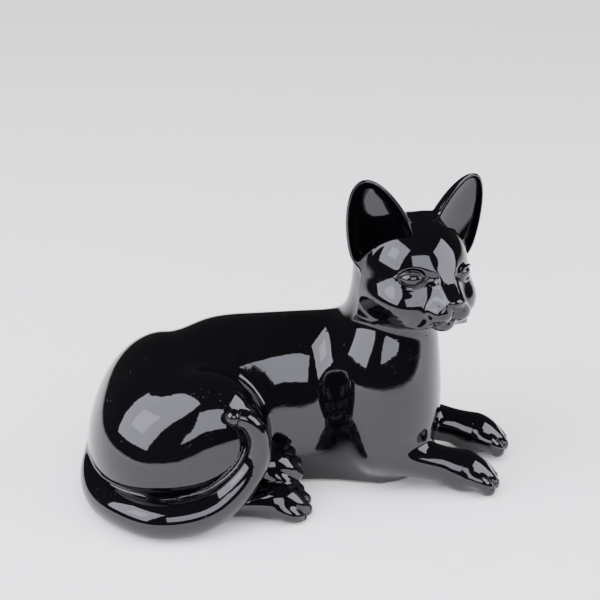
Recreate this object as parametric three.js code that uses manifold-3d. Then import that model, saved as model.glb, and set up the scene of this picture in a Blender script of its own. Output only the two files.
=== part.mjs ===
// A reclining cat figurine in glazed earthenware, 28 cm long.
//
// It is made as a pottery makes it: hollow slip castings for the body and the head, with the ears,
// tail, forelegs and hind feet cast or pressed separately and stuck on with slip before glazing.
// Each of them is one mesh here. Every seam is a butt joint, `seam` wide, that slip and glaze fill.
// The inside of the body is open to the head through the neck, and to the air through a vent.
//
// Millimetres, +Z up. The cat lies along X with its breast towards +X. It curls and looks
// towards -Y, its own right. The origin is at the middle of the bounding box, on the table.
import * as THREE from "three";
import { mergeVertices } from "three/addons/utils/BufferGeometryUtils.js";
import Module from "manifold-3d";

const wasm = await Module();
wasm.setup();

// ---------------------------------------------------------------- driving dimensions

const wall = 5; // thickness of a hollow casting
const seam = 0.3; // gap between two stuck castings

const padThickness = 1.5; // felt pads under the base
const padRadius = 8;
const ventRadius = 7; // drain and vent hole in the base

const bodyLength = 228; // rump to breast, along the back
const backHeight = 104; // table to the top of the back
const loinHalfWidth = 41;
const rumpHalfWidth = 54;
const shoulderHalfWidth = 33;
const bellyHeight = 36; // height at which the flanks are widest
const curl = 20; // how far the breast swings towards -Y; the rump swings further

const haunchLength = 118; // folded right hind leg, seen from its side
const haunchHeight = 92;
const haunchHalfWidth = 47;

const neckRadius = 28;
const neckHeight = 118; // height of the seam between body and head

const headHeight = 150; // table to the middle of the skull
const headTurn = 60; // degrees from +X towards -Y
const headTilt = 6; // degrees, right ear up
const skullLength = 70;
const skullWidth = 76;
const skullHeight = 64;
const muzzleReach = 48; // middle of the skull to the tip of the nose
const eyeSpacing = 43;

const earHeight = 45;
const earHalfWidth = 24;
const earThickness = 11;
const earRim = 3;
const earSpacing = 54;

const tailRadius = 12; // at the root
const tailTipRadius = 5;

const forelegLength = 73; // elbow to the middle of the paw
const forelegRadius = 13;
const forelegSpacing = 48;
const forelegStagger = 7; // the left foreleg reaches this much further than the right
const hindFootLength = 52;
const pawLength = 34;
const pawWidth = 30;
const pawHeight = 25;
const toesPerPaw = 4;

const around = 24; // facets round a body section
const slim = 16; // facets round a leg, the tail or an ear

// ---------------------------------------------------------------- solids from three.js geometry

const point = (x, y, z) => new THREE.Vector3(x, y, z);
const radians = THREE.MathUtils.degToRad;
const lerp = THREE.MathUtils.lerp;

/** Makes a manifold-3d solid of a closed BufferGeometry. */
function solidOf(geometry) {
  const bare = new THREE.BufferGeometry().setAttribute("position", geometry.getAttribute("position"));
  if (geometry.index) bare.setIndex(geometry.index);
  const merged = mergeVertices(bare, 1e-4);
  const mesh = new wasm.Mesh({
    numProp: 3,
    vertProperties: new Float32Array(merged.attributes.position.array),
    triVerts: new Uint32Array(merged.index.array),
  });
  return new wasm.Manifold(mesh);
}

/** Makes a BufferGeometry of a manifold-3d solid. */
function geometryOf(solid) {
  const mesh = solid.getMesh();
  const geometry = new THREE.BufferGeometry();
  geometry.setAttribute("position", new THREE.BufferAttribute(new Float32Array(mesh.vertProperties), 3));
  geometry.setIndex(new THREE.BufferAttribute(new Uint32Array(mesh.triVerts), 1));
  return geometry;
}

/** Joins solids into one. */
function join(...solids) {
  return solids.reduce((whole, piece) => whole.add(piece));
}

/** An ellipsoid at a point, with half-sizes along X, Y and Z, all `grow` larger. */
function ellipsoid(at, halfSizes, { grow = 0, facets = slim, turn = 0 } = {}) {
  const geometry = new THREE.SphereGeometry(1, facets, Math.round(facets * 0.6));
  geometry.rotateX(Math.PI / 2);
  geometry.scale(halfSizes[0] + grow, halfSizes[1] + grow, halfSizes[2] + grow);
  geometry.rotateZ(turn);
  geometry.translate(at.x, at.y, at.z);
  return solidOf(geometry);
}

/** A box that fills the plan between two heights. */
function slab(low, high) {
  const reach = 4 * bodyLength;
  const geometry = new THREE.BoxGeometry(reach, reach, high - low);
  geometry.translate(0, 0, (low + high) / 2);
  return solidOf(geometry);
}

/** Joins elliptical sections, each a ring of facets, and two poles into a closed BufferGeometry. */
function skin(sections, facets, firstPole, lastPole) {
  const points = [firstPole];
  for (const { middle, side, up, across, high } of sections) {
    for (let k = 0; k < facets; k++) {
      const angle = (2 * Math.PI * k) / facets;
      const onRing = middle.clone().addScaledVector(side, across * Math.cos(angle));
      points.push(onRing.addScaledVector(up, high * Math.sin(angle)));
    }
  }
  points.push(lastPole);
  const last = points.length - 1;
  const vertex = (ring, k) => 1 + ring * facets + (k % facets);
  const faces = [];
  for (let k = 0; k < facets; k++) {
    faces.push(0, vertex(0, k), vertex(0, k + 1));
    for (let ring = 0; ring + 1 < sections.length; ring++) {
      faces.push(vertex(ring, k), vertex(ring + 1, k), vertex(ring + 1, k + 1));
      faces.push(vertex(ring, k), vertex(ring + 1, k + 1), vertex(ring, k + 1));
    }
    faces.push(last, vertex(sections.length - 1, k + 1), vertex(sections.length - 1, k));
  }
  return new THREE.BufferGeometry().setFromPoints(points).setIndex(faces);
}

/**
 * A closed skin over elliptical sections, with round ends.
 * A station is {at, across, up}: the section's middle and its half-sizes.
 * `upright` is the direction that `up` keeps to, and `grow` offsets the whole skin outwards.
 */
function loft(stations, { upright = point(0, 0, 1), grow = 0, facets = slim, steps = 8 } = {}) {
  const route = new THREE.CatmullRomCurve3(stations.map((station) => station.at));
  const sizes = new THREE.CatmullRomCurve3(stations.map((station) => point(station.across, station.up, 0)));
  const section = (t, slide, shrink) => {
    const tangent = route.getTangent(t);
    const side = tangent.clone().cross(upright).normalize();
    const up = side.clone().cross(tangent).normalize();
    const size = sizes.getPoint(t);
    const depth = Math.min(size.x, size.y) + grow;
    const middle = route.getPoint(t).addScaledVector(tangent, slide * depth);
    return { middle, side, up, across: (size.x + grow) * shrink, high: (size.y + grow) * shrink };
  };
  const capSteps = 3;
  const sections = [];
  for (let k = 1; k <= capSteps; k++) {
    const angle = (Math.PI / 2) * (1 - k / capSteps);
    sections.push(section(0, -Math.sin(angle), Math.cos(angle)));
  }
  for (let k = 1; k < steps; k++) {
    sections.push(section(k / steps, 0, 1));
  }
  for (let k = capSteps; k >= 1; k--) {
    const angle = (Math.PI / 2) * (1 - k / capSteps);
    sections.push(section(1, Math.sin(angle), Math.cos(angle)));
  }
  return solidOf(skin(sections, facets, section(0, -1, 0).middle, section(1, 1, 0).middle));
}

// ---------------------------------------------------------------- the body casting

const base = padThickness; // height of the flat underside
const breastX = 95;
const rumpX = breastX - bodyLength;
const chestY = -curl * 0.9;

/** A section of the trunk: a tall ellipse that is widest at bellyHeight. */
function trunkStation(x, y, across, top) {
  return { at: point(x, y, bellyHeight), across, up: top - bellyHeight };
}

/** The trunk from rump to breast. */
function trunk(grow) {
  const stations = [
    trunkStation(rumpX + 34, -curl * 1.6, rumpHalfWidth - 18, backHeight * 0.91),
    trunkStation(rumpX + 52, -curl * 1.2, rumpHalfWidth - 6, backHeight * 0.98),
    trunkStation(rumpX + 78, -curl * 0.6, rumpHalfWidth, backHeight),
    trunkStation(rumpX + 112, -curl * 0.15, (rumpHalfWidth + loinHalfWidth) / 2, backHeight),
    trunkStation(breastX - 78, 0, loinHalfWidth, backHeight),
    trunkStation(breastX - 54, chestY * 0.5, (loinHalfWidth + shoulderHalfWidth) / 2, backHeight + 2),
    trunkStation(breastX - shoulderHalfWidth, chestY, shoulderHalfWidth - 2, backHeight - 2),
  ];
  return loft(stations, { grow, facets: around, steps: 14 });
}

/** The breast and the two shoulders. */
function breast(grow) {
  const shoulderOut = shoulderHalfWidth - 14;
  const shoulderAt = (side) => point(breastX - 33, chestY + side * shoulderOut, backHeight * 0.56);
  return join(
    ellipsoid(point(breastX - 30, chestY, backHeight * 0.62), [29, 29, backHeight * 0.55], { grow, facets: 18 }),
    ellipsoid(shoulderAt(-1), [27, 19, backHeight * 0.4], { grow }),
    ellipsoid(shoulderAt(1), [27, 19, backHeight * 0.4], { grow }),
  );
}

const haunchMiddle = point(rumpX + haunchLength / 2, -haunchHalfWidth - 10, haunchHeight * 0.4);

/** The folded right hind leg: its round haunch, and its thigh up to the knee. */
function haunch(grow) {
  const round = [haunchLength / 2, haunchHalfWidth, haunchHeight * 0.57];
  const thighAt = haunchMiddle.clone().add(point(haunchLength * 0.22, -5, haunchHeight * 0.12));
  const thigh = [haunchLength * 0.31, haunchHalfWidth * 0.68, haunchHeight * 0.48];
  return join(
    ellipsoid(haunchMiddle, round, { grow, facets: around }),
    ellipsoid(thighAt, thigh, { grow, facets: 20 }),
  );
}

const neckFoot = point(breastX - 42, chestY + 2, backHeight - 12);
const neckTop = point(breastX - 20, chestY - 3, headHeight - 6);

/** The neck, from between the shoulders up into the skull. */
function neck(grow) {
  const stations = [
    { at: neckFoot, across: neckRadius + 5, up: neckRadius + 6 },
    { at: neckFoot.clone().lerp(neckTop, 0.5), across: neckRadius + 1, up: neckRadius + 2 },
    { at: neckTop, across: neckRadius - 4, up: neckRadius - 3 },
  ];
  return loft(stations, { upright: point(1, 0, 0), grow, facets: 20, steps: 5 });
}

/** Everything of the body below the neck, solid and without its flat underside. */
function bodyForm(grow) {
  return join(trunk(grow), breast(grow), haunch(grow));
}

// ---------------------------------------------------------------- the head casting

const headFrame = new THREE.Matrix4().compose(
  point(breastX - 15, chestY - 2, headHeight),
  new THREE.Quaternion().setFromEuler(new THREE.Euler(-radians(headTilt), 0, -radians(headTurn), "ZYX")),
  point(1, 1, 1),
);

/** Places a solid that was made about the middle of the skull, nose towards +X. */
function onHead(solid) {
  return solid.transform(headFrame.elements);
}

const noseDrop = skullHeight * 0.26; // the nose lies this far below the middle of the skull

/** The skull, made about its own middle. */
function skull(grow) {
  const halfSizes = [skullLength / 2, skullWidth / 2, skullHeight / 2];
  return ellipsoid(point(-3, 0, 2), halfSizes, { grow, facets: around });
}

/** The head without ears and eyes, made about the middle of the skull. */
function headForm(grow) {
  const jaw = [skullLength * 0.38, skullWidth * 0.42, skullHeight * 0.3];
  const chin = [9, 8, 6];
  const muzzlePad = [11, 9, 8];
  const bridge = [
    { at: point(10, 0, 4), across: skullWidth * 0.2, up: skullHeight * 0.2 },
    { at: point(muzzleReach * 0.6, 0, -noseDrop * 0.3), across: skullWidth * 0.12, up: skullHeight * 0.15 },
    { at: point(muzzleReach - 7, 0, -noseDrop * 0.8), across: 7, up: 7 },
  ];
  return join(
    skull(grow),
    ellipsoid(point(7, 0, -14), jaw, { grow }),
    loft(bridge, { grow, steps: 4 }),
    ellipsoid(point(muzzleReach - 12, -6, -noseDrop - 3), muzzlePad, { grow }),
    ellipsoid(point(muzzleReach - 12, 6, -noseDrop - 3), muzzlePad, { grow }),
    ellipsoid(point(muzzleReach - 16, 0, -noseDrop - 12), chin, { grow }),
  );
}

/** An eyeball on side -1 (the cat's right) or 1, proud of the face. */
function eye(side) {
  return onHead(ellipsoid(point(24, (side * eyeSpacing) / 2, 1), [7, 8.5, 6], { turn: radians(side * 35) }));
}

// ---------------------------------------------------------------- ears, tail, legs

/** An ear on side -1 or 1: a tapering blade with a scooped front, sunk into the skull. */
function ear(side) {
  const blade = (halfWidth, thickness, forward, lower) => {
    const stations = [
      { at: point(forward, 0, -6), across: halfWidth, up: thickness },
      { at: point(forward, 0, earHeight * 0.35), across: halfWidth * 0.9, up: thickness * 0.8 },
      { at: point(forward, side, earHeight * 0.7 - lower), across: halfWidth * 0.6, up: thickness * 0.5 },
      { at: point(forward, side * 2, earHeight - 6 - lower), across: halfWidth * 0.26, up: thickness * 0.34 },
    ];
    return loft(stations, { upright: point(1, 0, 0), steps: 6 });
  };
  const shell = blade(earHalfWidth, earThickness, 0, 0);
  const scoop = blade(earHalfWidth - earRim, earThickness, earThickness * 0.75, earRim);
  const place = new THREE.Matrix4()
    .makeTranslation(-6, side * earSpacing * 0.5, skullHeight * 0.24)
    .multiply(new THREE.Matrix4().makeRotationZ(radians(side * 18)))
    .multiply(new THREE.Matrix4().makeRotationX(radians(-side * 20)));
  return onHead(shell.subtract(scoop).transform(place.elements));
}

/** A point by the haunch, in fractions of its length, half-width and height from its middle. */
function byHaunch(along, out, height) {
  return haunchMiddle
    .clone()
    .add(point(along * haunchLength, -out * haunchHalfWidth, 0))
    .setZ(height * haunchHeight);
}

/** The tail: down the rump, round the haunch on the table and up the thigh, curled at its tip. */
function tail(grow = 0) {
  const onTable = (base + tailRadius - 0.5) / haunchHeight;
  const route = [
    byHaunch(-0.42, -0.6, 0.42),
    byHaunch(-0.46, -0.22, 0.27),
    byHaunch(-0.42, 0.28, 0.17),
    byHaunch(-0.29, 0.84, onTable),
    byHaunch(-0.12, 1.12, onTable),
    byHaunch(0.08, 1.12, onTable),
    byHaunch(0.24, 0.99, 0.21),
    byHaunch(0.36, 0.87, 0.34),
    byHaunch(0.43, 0.78, 0.49),
    byHaunch(0.44, 0.75, 0.64),
    byHaunch(0.4, 0.77, 0.77),
    byHaunch(0.33, 0.8, 0.84),
    byHaunch(0.28, 0.82, 0.84),
  ];
  const thickest = 4; // the tail starts to taper from this point of its route
  const stations = route.map((at, k) => {
    const taper = Math.max(0, k - thickest) / (route.length - 1 - thickest);
    const radius = lerp(tailRadius, tailTipRadius, taper);
    return { at, across: radius, up: radius };
  });
  return loft(stations, { upright: point(0, 1, -1), grow, facets: 14, steps: 36 });
}

/** A paw about the middle of its sole, with its toes side by side across its front, towards +X. */
function paw(length, width, height, grow) {
  const palm = [length / 2, width * 0.42, height * 0.56];
  const pitch = width / toesPerPaw;
  const parts = [ellipsoid(point(-3, 0, height * 0.44), palm, { grow })];
  for (let k = 0; k < toesPerPaw; k++) {
    const aside = k - (toesPerPaw - 1) / 2;
    const at = point(length / 2 - 7 - 2 * Math.abs(aside), aside * pitch, height * 0.38);
    parts.push(ellipsoid(at, [10, pitch * 0.6, height * 0.38], { grow, facets: 10 }));
  }
  return join(...parts);
}

/** A foreleg on side -1 or 1, from the elbow beside the breast to the toes. */
function foreleg(side) {
  const elbow = point(
    breastX - 27 + (side * forelegStagger) / 2,
    chestY + side * (forelegSpacing / 2),
    base + 26,
  );
  const foot = elbow.clone().add(point(forelegLength * 0.7, 0, -10));
  const arm = [
    { at: elbow, across: forelegRadius, up: forelegRadius + 6 },
    { at: elbow.clone().lerp(foot, 0.55), across: forelegRadius, up: forelegRadius },
    { at: foot, across: forelegRadius - 1, up: forelegRadius - 2 },
  ];
  const toes = paw(pawLength, pawWidth, pawHeight, 0).translate(foot.x + 4, foot.y, base);
  return join(loft(arm, { steps: 6 }), toes);
}

/** A hind foot, from under the tail to its toes, with the middle of its paw's sole at a point. */
function hindFoot(at, turn, grow = 0) {
  const metatarsus = [
    { at: point(-hindFootLength, 0, 11), across: 9, up: 10 },
    { at: point(-hindFootLength * 0.4, 0, 12), across: 10, up: 11 },
    { at: point(-4, 0, 12), across: 11, up: 12 },
  ];
  const foot = loft(metatarsus, { grow, steps: 5 }).add(paw(pawLength, pawWidth - 4, pawHeight, grow));
  return foot.rotate(0, 0, turn).translate(at.x, at.y, at.z);
}

// ---------------------------------------------------------------- hollowing, and cutting at the seams

const below = slab(-200, base);
const bodySide = slab(-200, neckHeight - seam / 2);
const headSide = slab(neckHeight + seam / 2, 400);

const hollow = join(bodyForm(-wall), neck(-wall), onHead(skull(-wall))).subtract(slab(-200, base + wall));
const ventHole = new THREE.CylinderGeometry(ventRadius, ventRadius, 4 * wall, slim);
ventHole.rotateX(Math.PI / 2);
ventHole.translate(-10, -6, base + wall / 2);

const headKeepOut = onHead(headForm(seam));
const bodyKeepOut = bodyForm(seam).add(neck(seam).intersect(bodySide));
const tailKeepOut = tail(seam);

const bodyCasting = bodyForm(0)
  .add(neck(0).intersect(bodySide))
  .subtract(below)
  .subtract(headKeepOut)
  .subtract(hollow)
  .subtract(solidOf(ventHole));

const headCasting = join(onHead(headForm(0)), neck(0).intersect(headSide), eye(-1), eye(1)).subtract(hollow);

const rightFootAt = byHaunch(0.56, 0.5, base / haunchHeight);
const leftFootAt = byHaunch(0.52, 0.15, base / haunchHeight + 0.2);
const rightHindFoot = hindFoot(rightFootAt, 6).subtract(bodyKeepOut).subtract(tailKeepOut).subtract(below);
const leftHindFoot = hindFoot(leftFootAt, 0)
  .subtract(bodyKeepOut)
  .subtract(tailKeepOut)
  .subtract(hindFoot(rightFootAt, 6, seam));

// ---------------------------------------------------------------- the assembly

const glaze = new THREE.MeshStandardMaterial({ color: 0x0a0a0c, roughness: 0.06, metalness: 0 });
const felt = new THREE.MeshStandardMaterial({ color: 0x1c1b1b, roughness: 0.95, metalness: 0 });

const figurine = new THREE.Group();

/** Adds a named mesh of a solid's largest piece to the figurine. */
function place(name, solid, material) {
  const largest = solid.decompose().sort((a, b) => b.volume() - a.volume())[0];
  const mesh = new THREE.Mesh(geometryOf(largest), material.clone());
  mesh.name = name;
  figurine.add(mesh);
}

place("body_casting", bodyCasting, glaze);
place("head_casting", headCasting, glaze);
place("right_ear", ear(-1).subtract(headKeepOut), glaze);
place("left_ear", ear(1).subtract(headKeepOut), glaze);
place("tail", tail().subtract(bodyKeepOut).subtract(below), glaze);
place("right_foreleg", foreleg(-1).subtract(bodyKeepOut).subtract(below), glaze);
place("left_foreleg", foreleg(1).subtract(bodyKeepOut).subtract(below), glaze);
place("right_hind_foot", rightHindFoot, glaze);
place("left_hind_foot", leftHindFoot, glaze);

const padPlaces = {
  rear_right_pad: [rumpX + 56, -66],
  rear_left_pad: [rumpX + 62, 14],
  front_right_pad: [breastX - 38, chestY - 16],
  front_left_pad: [breastX - 38, chestY + 18],
};
for (const [name, [x, y]] of Object.entries(padPlaces)) {
  const disc = new THREE.CylinderGeometry(padRadius, padRadius, padThickness - seam, slim);
  disc.rotateX(Math.PI / 2);
  disc.translate(x, y, (padThickness - seam) / 2);
  place(name, solidOf(disc), felt);
}

// The origin goes to the middle of the box that holds the cat, on the table.
const box = new THREE.Box3().setFromObject(figurine);
const middle = box.getCenter(new THREE.Vector3());
figurine.position.set(-middle.x, -middle.y, -box.min.z);

export default figurine;
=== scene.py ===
"""Looks of a reclining cat figurine in black glazed earthenware.

The cat is sculpted as one signed distance field, so that its glaze flows unbroken over the seams, and is
then parted into one closed piece for each casting. All sculpting is in millimetres, in the cat's own frame:
X from rump to breast, Y towards its left flank, Z up from the table.
"""

from __future__ import annotations

import logging
import math
from concurrent.futures import ThreadPoolExecutor
from dataclasses import dataclass, field
from enum import Enum
from typing import Callable, Sequence

import bpy
import numpy as np
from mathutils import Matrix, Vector


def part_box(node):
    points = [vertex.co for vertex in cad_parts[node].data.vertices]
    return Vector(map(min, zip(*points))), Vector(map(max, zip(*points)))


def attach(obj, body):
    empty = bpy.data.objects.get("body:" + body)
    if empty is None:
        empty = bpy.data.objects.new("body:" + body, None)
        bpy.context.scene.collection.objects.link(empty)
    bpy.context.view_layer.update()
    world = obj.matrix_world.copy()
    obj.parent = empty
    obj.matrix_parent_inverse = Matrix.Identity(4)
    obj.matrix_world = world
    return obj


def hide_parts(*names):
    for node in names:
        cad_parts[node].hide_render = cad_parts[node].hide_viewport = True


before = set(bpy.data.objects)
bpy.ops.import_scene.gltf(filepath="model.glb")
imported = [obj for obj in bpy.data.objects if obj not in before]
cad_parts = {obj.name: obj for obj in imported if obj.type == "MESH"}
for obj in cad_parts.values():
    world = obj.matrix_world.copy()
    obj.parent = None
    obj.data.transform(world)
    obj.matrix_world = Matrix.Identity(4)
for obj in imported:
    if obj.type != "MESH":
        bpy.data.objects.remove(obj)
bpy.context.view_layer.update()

LOG = logging.getLogger("cat")
Array = np.ndarray
Vec = tuple[float, float, float]
Vec4 = tuple[float, float, float, float]
Field = Callable[[Array], Array]
Twin = Callable[[Array], tuple[Array, Array]]
MM = 0.001


# ---------------------------------------------------------------------------------------------
# Sculpting: signed distance fields. Points are (n, 3) arrays in millimetres.
# ---------------------------------------------------------------------------------------------


def merge(a: Array, b: Array, reach: float) -> Array:
    """Joins two fields with a fillet.

    Args:
        a: Distances to the first form.
        b: Distances to the second form.
        reach: How far from the crease the fillet reaches, in millimetres.

    Returns:
        Distances to the joined form.
    """
    share = np.maximum(reach - np.abs(a - b), 0.0) / reach
    return np.minimum(a, b) - share**3 * (reach / 6)


def carve(a: Array, b: Array, reach: float) -> Array:
    """Takes form b out of form a, with a rounded edge.

    Args:
        a: Distances to the form that is cut.
        b: Distances to the form that is taken out.
        reach: How far from the edge the rounding reaches, in millimetres.

    Returns:
        Distances to what is left.
    """
    return -merge(-a, b, reach)


def turn(x: float = 0.0, y: float = 0.0, z: float = 0.0) -> Array:
    """A rotation matrix: about X first, then Y, then Z, in degrees.

    Args:
        x: Angle about X.
        y: Angle about Y.
        z: Angle about Z.

    Returns:
        A 3 by 3 matrix whose columns are the turned axes.
    """
    (cx, sx), (cy, sy), (cz, sz) = ((math.cos(a), math.sin(a)) for a in map(math.radians, (x, y, z)))
    about_x = np.array([[1, 0, 0], [0, cx, -sx], [0, sx, cx]])
    about_y = np.array([[cy, 0, sy], [0, 1, 0], [-sy, 0, cy]])
    about_z = np.array([[cz, -sz, 0], [sz, cz, 0], [0, 0, 1]])
    return about_z @ about_y @ about_x


def facets(points: Array, planes: Sequence[Vec4], soft: float) -> Array:
    """Distance to a block bounded by planes, with softened edges.

    Args:
        points: Where to look.
        planes: For each, its outward direction and its distance from the origin.
        soft: How far from an edge the softening reaches.

    Returns:
        Distances.
    """
    field = None
    for *outward, offset in planes:
        side = points @ np.asarray(outward, float) - offset
        field = side if field is None else carve(field, -side, soft)
    return field


class Spline:
    """A smooth curve through knots, evaluated for many values at once."""

    def __init__(self, at: Sequence[float], values: Sequence, level: bool = False) -> None:
        """Solves for the slopes at the knots.

        Args:
            at: Increasing positions of the knots.
            values: What the curve passes through there, a number or a vector for each knot.
            level: Whether the curve runs level at both ends, rather than free.
        """
        self.at = np.asarray(at, float)
        self.values = np.asarray(values, float).reshape(len(self.at), -1)
        count = len(self.at)
        step = np.diff(self.at)
        matrix = np.eye(count)
        right = np.zeros_like(self.values)
        if not level:
            matrix[0, 1] = matrix[-1, -2] = 0.5
            right[0] = 1.5 * (self.values[1] - self.values[0]) / step[0]
            right[-1] = 1.5 * (self.values[-1] - self.values[-2]) / step[-1]
        for k in range(1, count - 1):
            matrix[k, k - 1 : k + 2] = 1 / step[k - 1], 2 / step[k - 1] + 2 / step[k], 1 / step[k]
            rise = (self.values[k] - self.values[k - 1]) / step[k - 1] ** 2
            right[k] = 3 * (rise + (self.values[k + 1] - self.values[k]) / step[k] ** 2)
        self.slopes = np.linalg.solve(matrix, right)

    def __call__(self, where: Array) -> Array:
        """Evaluates the curve.

        Args:
            where: Positions, held to the range of the knots.

        Returns:
            One row for each position.
        """
        where = np.clip(where, self.at[0], self.at[-1])
        k = np.clip(np.searchsorted(self.at, where) - 1, 0, len(self.at) - 2)
        step = (self.at[k + 1] - self.at[k])[:, None]
        t = (where - self.at[k])[:, None] / step
        a, b = self.values[k], self.values[k + 1]
        m, n = self.slopes[k] * step, self.slopes[k + 1] * step
        return a + t * (m + t * (3 * (b - a) - 2 * m - n + t * (2 * (a - b) + m + n)))


@dataclass(frozen=True)
class Ellipsoid:
    """A rounded lump of clay. Its lower half may be deeper or shallower than its upper half."""

    centre: Vec
    radii: Vec
    axes: Array | None = None
    drop: float = 0.0

    def distance(self, points: Array) -> Array:
        """Approximate distance to the lump, exact where it is zero.

        Args:
            points: Where to look, in millimetres.

        Returns:
            Distances.
        """
        local = points - np.asarray(self.centre)
        if self.axes is not None:
            local = local @ self.axes
        radii = np.asarray(self.radii)
        if self.drop:
            radii = np.where((local[:, 2:] < 0) & (np.arange(3) == 2), self.drop, radii)
        first = np.sqrt(((local / radii) ** 2).sum(1)) + 1e-9
        second = np.sqrt(((local / radii**2) ** 2).sum(1)) + 1e-9
        return first * (first - 1) / second


class Limb:
    """A tapering round limb along a curved line, with round ends."""

    def __init__(self, line: Sequence[Vec], radii: Sequence[float], pieces: int = 12) -> None:
        """Fits the line.

        Args:
            line: Points that the middle of the limb passes through.
            radii: Radius at each of them.
            pieces: How many places along the line the nearest point is first looked for.
        """
        nodes = np.asarray(line, float)
        along = np.concatenate([[0], np.cumsum(np.linalg.norm(np.diff(nodes, axis=0), axis=1))])
        self.curve = Spline(along, np.column_stack([nodes, radii]))
        self.at = np.linspace(0, along[-1], pieces + 1)
        self.nodes = self.curve(self.at)[:, :3]

    def distance(self, points: Array) -> Array:
        """Distance to the limb, by two Newton steps from the nearest of the places along it.

        Args:
            points: Where to look, in millimetres.

        Returns:
            Distances.
        """
        near = (self.nodes**2).sum(1) - 2 * (points @ self.nodes.T)
        at = self.at[near.argmin(1)]
        step = self.at[1]
        probe, farthest = 0.02, 0.8
        for _ in range(2):
            middle, ahead = self.curve(at)[:, :3], self.curve(at + probe * step)[:, :3]
            way = ahead - middle
            size = (way**2).sum(1) + 1e-12
            move = np.clip(((points - middle) * way).sum(1) / size * probe, -farthest, farthest)
            at = np.clip(at + move * step, 0, self.at[-1])
        nearest = self.curve(at)
        return np.sqrt(((points - nearest[:, :3]) ** 2).sum(1)) - nearest[:, 3]


# ---------------------------------------------------------------------------------------------
# The sub-assemblies of the cat
# ---------------------------------------------------------------------------------------------


@dataclass(frozen=True)
class Trunk:
    """The body's main mass: a tall section swept from the rump to the breast.

    Attributes:
        knots: For positions along X: the middle in Y, the half-width, and the height of the back.
        belly: Height at which the section is widest.
        below: How far the section would reach below that, if the underside weren't flat.
        rear_cap: Length of the rounded rear end.
        front_cap: Length of the rounded front end.
    """

    knots: Sequence[Vec4] = (
        (-86, -16, 51, 96.5),
        (-62, -12, 54, 103),
        (-30, -6, 50, 106),
        (0, -2, 44, 106.5),
        (30, -4, 41, 107),
        (52, -11, 35, 107),
    )
    belly: float = 25
    below: float = 52
    rear_cap: float = 48
    front_cap: float = 37

    def distance(self, points: Array) -> Array:
        """Approximate distance to the trunk.

        Args:
            points: Where to look, in millimetres.

        Returns:
            Distances.
        """
        knots = np.asarray(self.knots, float)
        curve = Spline(knots[:, 0], knots[:, 1:], level=True)
        x = points[:, 0]
        section = curve(x)
        up = points[:, 2] - self.belly
        high = np.where(up > 0, section[:, 2] - self.belly, self.below)
        behind, ahead = np.maximum(knots[0, 0] - x, 0), np.maximum(x - knots[-1, 0], 0)
        past = behind / self.rear_cap + ahead / self.front_cap
        aside = (points[:, 1] - section[:, 0]) / section[:, 1]
        rise = up / high
        first = np.sqrt(past**2 + aside**2 + rise**2) + 1e-9
        cap = np.where(x < 0, self.rear_cap, self.front_cap)
        second = np.sqrt((past / cap) ** 2 + (aside / section[:, 1]) ** 2 + (rise / high) ** 2) + 1e-9
        return first * (first - 1) / second


@dataclass(frozen=True)
class Body:
    """Trunk, haunch, shoulders, breast and neck.

    Attributes:
        blend: How softly the shoulders and the neck flow into the trunk.
        haunch_blend: How softly the haunch and the thigh flow into each other, and the breast into the trunk.
        crease: How sharp the fold is where the haunch lies against the flank.
        slack: How much softer that fold gets towards the rump.
    """

    trunk: Trunk = Trunk()
    haunch: Ellipsoid = Ellipsoid((-80, -48, 33), (53, 55, 56))
    thigh: Ellipsoid = Ellipsoid((-50, -65, 48), (35, 30, 44), turn(y=-14))
    breast: Ellipsoid = Ellipsoid((62, -18, 40), (28, 30, 82), drop=42)
    near_shoulder: Ellipsoid = Ellipsoid((59, -35, 50), (29, 24, 52), turn(y=-6), 34)
    far_shoulder: Ellipsoid = Ellipsoid((59, 0, 50), (29, 24, 52), turn(y=-6), 34)
    neck_line: Sequence[Vec] = ((58, -15, 76), (62.5, -15, 98), (63.5, -14, 120), (64, -10, 144))
    neck_radii: Sequence[float] = (30, 28.5, 26.5, 25.5)
    blend: float = 34
    haunch_blend: float = 26
    crease: float = 9
    slack: float = 24

    def distance(self, points: Array) -> Array:
        """Distance to the body, solid and without its flat underside.

        Args:
            points: Where to look, in millimetres.

        Returns:
            Distances.
        """
        field = merge(self.trunk.distance(points), self.breast.distance(points), self.haunch_blend)
        quarter = merge(self.haunch.distance(points), self.thigh.distance(points), self.haunch_blend)
        fold_end, fold_length = -42, 50
        rearward = np.clip((fold_end - points[:, 0]) / fold_length, 0, 1)
        field = merge(field, quarter, self.crease + self.slack * rearward)
        field = merge(field, self.near_shoulder.distance(points), self.blend)
        field = merge(field, self.far_shoulder.distance(points), self.blend)
        return merge(field, Limb(self.neck_line, self.neck_radii).distance(points), self.blend)


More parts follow.
